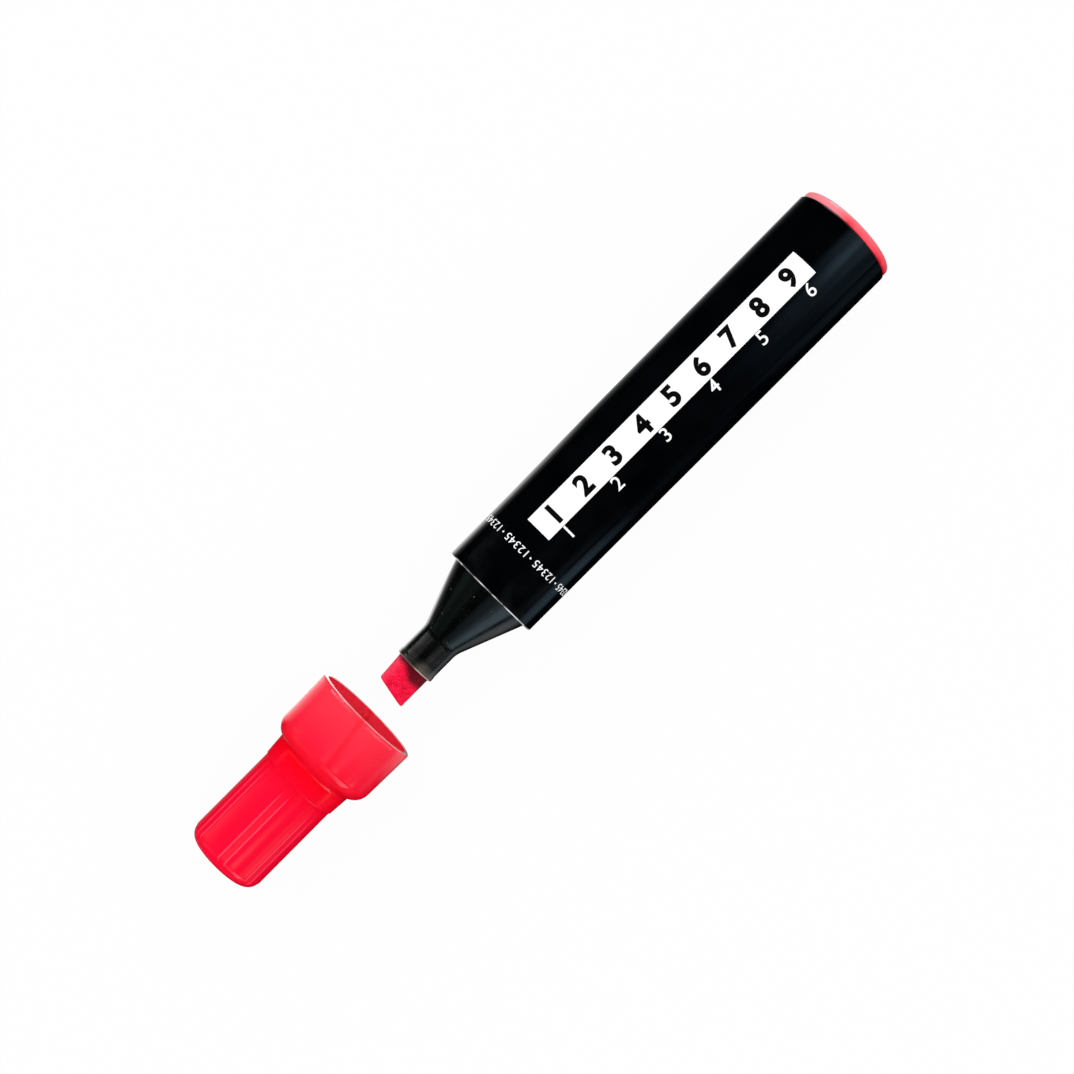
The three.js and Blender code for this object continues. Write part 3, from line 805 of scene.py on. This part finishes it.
outside = spread(np.concatenate([
    rounded_profile([
        (0, cap_length), (grip_radius, cap_length, end_fillet, 14), (grip_radius, grip_start, 0.12, 4),
        (ring_radius - 0.35, grip_start, 0.12, 4), (ring_radius, ring_start)])[:-1],
    shoulder,
    rounded_profile([
        (shoulder_top, collar_length), (mouth_radius, 0, 0.8, 8), (collar_bore, 0, 0.12, 3),
        (collar_bore, 4)])[1:-1],
    hollow,
    rounded_profile([
        (seat_radius, collar_length + hollow_radius), (seat_radius, seat_station, 0.1, 2),
        (grip_bore, seat_station, 0.1, 2),
        (grip_bore, cap_floor, 1.6, 6), (0, cap_floor)]),
]), 0.9)
distance = np.abs((cap_angles[None] - ridge_centres[:, None] + math.pi) % (2 * math.pi) - math.pi).min(0)
ridge = ridge_height * np.clip(1 - (distance / ridge_half) ** 2, 0, None)
on_side = np.arange(len(outside)) < np.argmax(outside[:, 1] < grip_start + 0.2)
tail = np.clip((cap_length - outside[:, 1]) / end_fillet, 0, 1)
fading = tail * tail * (3 - 2 * tail)
cap_radius = outside[:, :1] + np.where(on_side, fading, 0)[:, None] * ridge
near_ring = (~on_side) & (outside[:, 1] > grip_start - 0.01) & (outside[:, 0] > grip_radius - 0.01)
cap_radius = np.where(near_ring[:, None], np.maximum(cap_radius, grip_radius + ridge), cap_radius)
cap_grid = turned_grid(cap_radius, mouth_station - outside[:, 1], cap_angles)
cap_piece = closed_surface("cap_body", cap_grid)
mouth_x = mouth_station + rim_x
# The cap's side colour is painted shade that deepens the red on the side towards −Y. Its pale ridge crests along
# the grip and the pale rim of the mouth are painted highlights.
cap_red = glossy_red_polypropylene("red_polypropylene_cap", [
    (mouth_x - 39.8, "#fe0c36"), (mouth_x - 20, "#fe0a34"), (mouth_x - 13, "#fd001a"), (mouth_x - 8.5, "#fe1e3e"),
    (mouth_x, "#ff364c")],
    [((mouth_x - grip_start - 1, mouth_x - grip_start - 6), (grip_radius + 0.12, grip_radius + 0.2), "#ff4464"),
     ((mouth_x - 0.14, mouth_x - 0.04), (collar_bore - 0.2, collar_bore - 0.1), "#ffc2c4")],
    ("#ff0028", 0, -22), [(mouth_x - 3.5, -0.6, 0.13, 10, 0.42)])
finish_piece(cap_piece, cap_red, "cap", "red_plastic", "cap_shell")

# Guide ribs in the cap
# Six low ribs inside the collar, moulded with it, centre the cap on the base of the cone as it is pushed on.
rib_depths = np.array([10, 10, 9.9, 9.6, 6, 3, 1.5, 1.15, 1.0, 1.0])
rib_share = np.array([0, 0.6, 0.85, 1, 1, 1, 1, 0.85, 0.6, 0])
rib_turn = np.linspace(0, 2 * math.pi, 20, endpoint=False)
rib_middle = 9.95
rib_half_width = 0.45
rib_half_height = 0.5
half_across = rib_half_width * np.sign(np.cos(rib_turn)) * np.abs(np.cos(rib_turn)) ** 0.6
outwards = rib_middle + rib_half_height * np.sign(np.sin(rib_turn)) * np.abs(np.sin(rib_turn)) ** 0.6
across = half_across * rib_share[:, None]
radial = rib_middle + (outwards - rib_middle) * rib_share[:, None]
for index in range(6):
    rib_angle = math.pi + index * math.pi / 3
    y = radial * math.sin(rib_angle) + across * math.cos(rib_angle)
    z = axis_z + radial * math.cos(rib_angle) - across * math.sin(rib_angle)
    rib_grid = np.stack([mouth_x - rib_depths[:, None] + 0 * y, y, z], -1)
    finish_piece(closed_surface(f"cap_guide_rib_{index + 1}", rib_grid), cap_red, "cap", "red_plastic")

# Inner cap
# A soft cup of natural polyethylene, pushed into the cap's step. Its bead closes on the lip of the neck and keeps
# the nib from drying.
liner_bore = 4.4
liner_outside = 5.4
liner_top = 30.7
liner_ceiling = 29.5
liner_mouth = 14.4
flange_radius = seat_radius - 0.05
flange_start = 15.6
flange_end = 17.1
bead_radius = liner_bore - 0.1
liner_outline = spread(rounded_profile([
    (0, liner_top), (liner_outside, liner_top, 1.2, 8),
    (liner_outside, flange_end, 0.15, 3), (flange_radius, flange_end, 0.1, 3),
    (flange_radius, flange_start, 0.15, 3), (liner_outside, flange_start, 0.2, 3),
    (liner_outside, liner_mouth, 0.2, 4), (liner_bore + 0.5, liner_mouth, 0.15, 3),
    (liner_bore, 14.9, 0.2, 3), (liner_bore, 16.3, 0.1, 2), (bead_radius, 16.57, 0.1, 2),
    (bead_radius, 16.83, 0.1, 2), (liner_bore, 17.1, 0.1, 2),
    (liner_bore, liner_ceiling, 0.4, 4), (0, liner_ceiling)]), 1)
liner_piece = closed_surface(
    "cap_liner", turned_grid(liner_outline[:, 0], mouth_station - liner_outline[:, 1], around[::2]))


def natural_polyethylene():
    """Natural low-density polyethylene: milky, waxy and slightly uneven."""
    material, tree, place = empty_material("polyethylene_natural")
    cloud = add(tree, "TexNoise", {"Vector": place, "Scale": 1 / (3 * MM), "Detail": 3.0})
    colour = add(tree, "ValToRGB", {"Fac": cloud}, stops=[(0.3, "#e2ddd2"), (0.7, "#efebe2")])
    bump = add(tree, "Bump", {"Height": cloud, "Strength": 0.2, "Distance": 0.05 * MM})
    shader = add(tree, "BsdfPrincipled", {"Base Color": colour, "Roughness": 0.42, "IOR": 1.51, "Normal": bump})
    add(tree, "OutputMaterial", {"Surface": shader})
    return material


finish_piece(liner_piece, natural_polyethylene(), "cap", "seal_plastic", "inner_cap")

# Camera
# It stands over the barrel's front rim and looks a little towards the rear, turned so that the marker runs from
# the lower left to the upper right.
frame_width = 1074
focal_length = 1868.9
camera_data = bpy.data.cameras.new("camera")
camera_data.sensor_width = 36
camera_data.lens = 36 * focal_length / frame_width
camera_data.clip_start = 0.01
camera = link_object("camera", camera_data)
camera_place = Vector((-6.57, 0.24, 370.78)) * MM
camera_target = Vector((1.31, 0.84, axis_z)) * MM
roll = math.radians(45.12)
forward = (camera_target - camera_place).normalized()
right = Vector((math.cos(roll), -math.sin(roll), 0))
right = (right - forward * right.dot(forward)).normalized()
upward = right.cross(forward)
camera.matrix_world = Matrix.Translation(camera_place) @ Matrix((right, upward, -forward)).transposed().to_4x4()
scene.camera = camera

# Table
# A plain white table. The camera sees it evenly white with the marker's shadow kept faint. Glossy plastic sees
# it dark, with soft strips of light beside the marker: bright on the lit side and dim blue on the other.
table = bpy.data.meshes.new("table")
table.from_pydata([(-3, -3, 0), (3, -3, 0), (3, 3, 0), (-3, 3, 0)], [], [(0, 1, 2, 3)])
link_object("table", table)
table_material, tree, place = empty_material("table_white")
table_x, table_y, _ = add(tree, "SeparateXYZ", {"Vector": place}).outputs


def glow(tree, first, second, patches):
    """Sum of soft patches of light. Each is the product of a ramp over the first value and one over the second,
    given as a range and stops of a place in it and a grey level or a colour, none above 1."""
    total = None
    for patch in patches:
        parts = []
        for value, (low, high, stops) in zip((first, second), patch):
            share = add(tree, "MapRange", {"Value": value, "From Min": low, "From Max": high})
            stops = [((at - low) / (high - low), (*(np.ones(3) * level), 1)) for at, level in stops]
            parts.append(add(tree, "ValToRGB", {"Fac": share}, stops=stops))
        product = add(tree, "Mix", {
            0: 1.0, 6: parts[0], 7: parts[1]}, {"data_type": "RGBA", "blend_type": "MULTIPLY"})
        if total is None:
            total = product
        else:
            total = add(tree, "Mix", {0: 1.0, 6: total, 7: product}, {"data_type": "RGBA", "blend_type": "ADD"})
    return total


pale_blue = np.array([0.62, 0.85, 1.0])
near_strip = (0, 0.04, [
    (0.004, 0), (0.009, 0.5), (0.012, 1), (0.0135, 1), (0.017, 0.3), (0.021, 0.03), (0.026, 0)])
outer_strip = (0.01, 0.06, [(0.013, 0), (0.018, 0.6), (0.024, 0.45), (0.034, 0.06), (0.05, 0)])
cap_strip = (0.02, 0.08, [(0.02, 0), (0.03, 0.09), (0.045, 0.08), (0.06, 0.015), (0.08, 0)])
deep_blue = np.array([0.46, 0.75, 1.0])
far_strip = (-0.25, 0, [(-0.25, 0.028 * deep_blue), (-0.14, 0.084 * deep_blue), (-0.07, 0.105 * deep_blue),
                        (-0.044, 0.09 * deep_blue), (-0.036, 0.04 * deep_blue), (-0.031, 0)])
nose_strip = (-0.1, 0, [(-0.08, 0), (-0.05, 0.14), (-0.028, 0.14), (-0.02, 0.08), (-0.013, 0)])
table_shine = glow(tree, table_x, table_y, [
    ((-0.09, 0.1, [(-0.07, 0.03), (-0.0635, 0), (-0.056, 0.35), (-0.045, 0.45), (-0.036, 0.6), (-0.018, 0.5),
                   (-0.012, 1), (0.012, 1), (0.03, 0.5), (0.1, 0.35)]), near_strip),
    ((-0.09, 0.1, [(-0.064, 0), (-0.058, 0.45), (-0.048, 0.45), (-0.042, 0.1), (-0.02, 0.15), (-0.012, 1),
                   (0.004, 0.9), (0.025, 0.1), (0.08, 0.03)]), outer_strip),
    ((-0.07, -0.04, [(-0.066, 0), (-0.06, 1), (-0.049, 1), (-0.045, 0)]), cap_strip),
    ((-0.06, 0, [(-0.056, 0), (-0.049, 0.9), (-0.041, 1), (-0.024, 1), (-0.016, 0)]), nose_strip),
    ((-0.1, 0.1, [(-0.1, 0.3), (-0.088, 0.28), (-0.08, 0.08), (-0.066, 0.06), (-0.06, 0.4), (-0.054, 0.8),
                  (0.004, 1), (0.02, 0.1), (0.06, 0), (0.075, 0.2)]), far_strip),
])
rays = add(tree, "LightPath")
lit = add(tree, "BsdfDiffuse", {"Color": "#e6e6e6"})
white = add(tree, "Emission", {"Color": (1, 1, 1, 1), "Strength": 1.0})
shine = add(tree, "Emission", {"Color": table_shine, "Strength": 5.0})
seen = add(tree, "Math", {0: rays.outputs["Is Camera Ray"], 1: 0.96}, times)
seen = add(tree, "Math", {0: seen, 1: rays.outputs["Is Transmission Ray"]}, {"operation": "MAXIMUM"})
base = add(tree, "MixShader", {0: seen, 1: lit, 2: white})
whole = add(tree, "MixShader", {0: rays.outputs["Is Glossy Ray"], 1: base, 2: shine})
add(tree, "OutputMaterial", {"Surface": whole})
table.materials.append(table_material)

# Light
# A large soft lamp overhead and a smaller one from the upper left. The room is white to the camera and nearly
# white to matt surfaces. To glossy ones it is dark, with soft patches of light that go by the direction.
world = bpy.data.worlds.new("room")
scene.world = world
world.use_nodes = True
tree = world.node_tree
tree.nodes.clear()
direction = add(tree, "TexCoord").outputs["Generated"]
towards_x, towards_y, _ = add(tree, "SeparateXYZ", {"Vector": direction}).outputs
grey_green = np.array([0.6, 1.0, 0.8])
nose_side = (-1, 1, [(-0.9, 0.4 * pale_blue), (-0.75, 0.24 * pale_blue), (-0.6, 0.13 * pale_blue),
                     (-0.3, 0.1 * pale_blue), (-0.05, 0.0), (0.14, 0.0),
                     (0.5, 0.035 * grey_green), (1, 0.05 * grey_green)])
neck_side = (-1, 1, [(-1, 0.3), (-0.85, 0.15), (-0.6, 0.4), (-0.4, 0.3), (-0.25, 0.0), (0.25, 0.0), (0.5, 0.15),
                     (0.85, 0.4), (1, 0.5)])
collar_side = (-1, 1, [(-1, 0.02), (-0.85, 0.0), (-0.55, 0.02), (-0.3, 0.025), (0.1, 0.0), (0.6, 0.02), (1, 0.03)])
grip_side = (-1, 1, [
    (-1, 0.12), (-0.94, 0.1), (-0.86, 0.0), (-0.7, 0.01), (-0.62, 0.14), (-0.5, 0.14), (-0.42, 0.01), (-0.3, 0.0),
    (-0.1, 0.05), (0.02, 0.05), (0.1, 0.0), (0.7, 0.0), (0.9, 0.04), (1, 0.07)])
front_side = (-1, -0.9, [(-1, 0.02 * pale_blue), (-0.96, 0.006 * pale_blue), (-0.92, 0)])
rear_side = (-1, 1, [(-1, 0.03 * deep_blue), (-0.85, 0.08 * deep_blue), (-0.6, 0.13 * deep_blue),
                     (-0.35, 0.12 * deep_blue), (-0.1, 0.05 * deep_blue), (0.1, 0)])
far_end = (-1, 1, [(-1, 0.1), (0, 0.15), (0.45, 0.2), (0.6, 1), (0.8, 1), (0.95, 0.2)])
room_shine = glow(tree, towards_x, towards_y, [
    ((-1, 0, [(-0.76, 0), (-0.68, 1), (-0.46, 1), (-0.36, 0)]), nose_side),
    ((-0.1, 0, [(-0.1, 0), (-0.09, 1), (-0.048, 1), (-0.034, 0)]), neck_side),
    ((-0.3, 0, [(-0.14, 0), (-0.132, 1), (-0.1, 1), (-0.08, 0)]), collar_side),
    ((-0.4, 0, [(-0.28, 0), (-0.24, 1), (-0.19, 1), (-0.165, 0)]), grip_side),
    ((-0.1, 0.1, [(-0.046, 0), (-0.036, 1), (0.02, 1), (0.06, 0)]), front_side),
    ((0, 0.5, [(0.13, 0), (0.2, 0.3), (0.23, 1), (0.28, 1), (0.34, 0)]), rear_side),
    ((0, 1, [(0.3, 0), (0.45, 0.25), (0.7, 0.8), (1, 1)]), far_end),
])
squeezed = add(tree, "Mapping", {"Vector": direction, "Scale": (6, 1, 1)})
haze = add(tree, "TexNoise", {"Vector": squeezed, "Scale": 2.4, "Detail": 1.0})
uneven = add(tree, "MapRange", {"Value": haze, "From Min": 0.35, "From Max": 0.65, "To Min": 2.5, "To Max": 8.5})
rays = add(tree, "LightPath")
soft = add(tree, "Background", {"Color": (1, 1, 1, 1), "Strength": 0.93})
ends = add(tree, "Background", {"Color": room_shine, "Strength": uneven})
plain = add(tree, "Background", {"Color": (1, 1, 1, 1), "Strength": 1.0})
first = add(tree, "MixShader", {0: rays.outputs["Is Glossy Ray"], 1: soft, 2: ends})
seen = add(tree, "Math", {
    0: rays.outputs["Is Camera Ray"], 1: rays.outputs["Is Transmission Ray"]}, {"operation": "MAXIMUM"})
second = add(tree, "MixShader", {0: seen, 1: first, 2: plain})
add(tree, "OutputWorld", {"Surface": second})


def soft_lamp(name, place, size, power):
    """Square lamp at a place in metres, turned to the middle of the object. Glossy rays don't see it."""
    light = bpy.data.lights.new(name, "AREA")
    light.size = size
    light.energy = power
    lamp = link_object(name, light)
    lamp.location = place
    lamp.rotation_euler = (Vector(place) - Vector((0, 0, 0.01))).to_track_quat("Z", "Y").to_euler()
    lamp.visible_glossy = False


soft_lamp("overhead_lamp", (0.5, -0.1, 1.05), 0.9, 2.0)
soft_lamp("upper_left_lamp", (-0.1, 0.8, 0.9), 0.5, 1.3)

scene.view_settings.view_transform = "Standard"
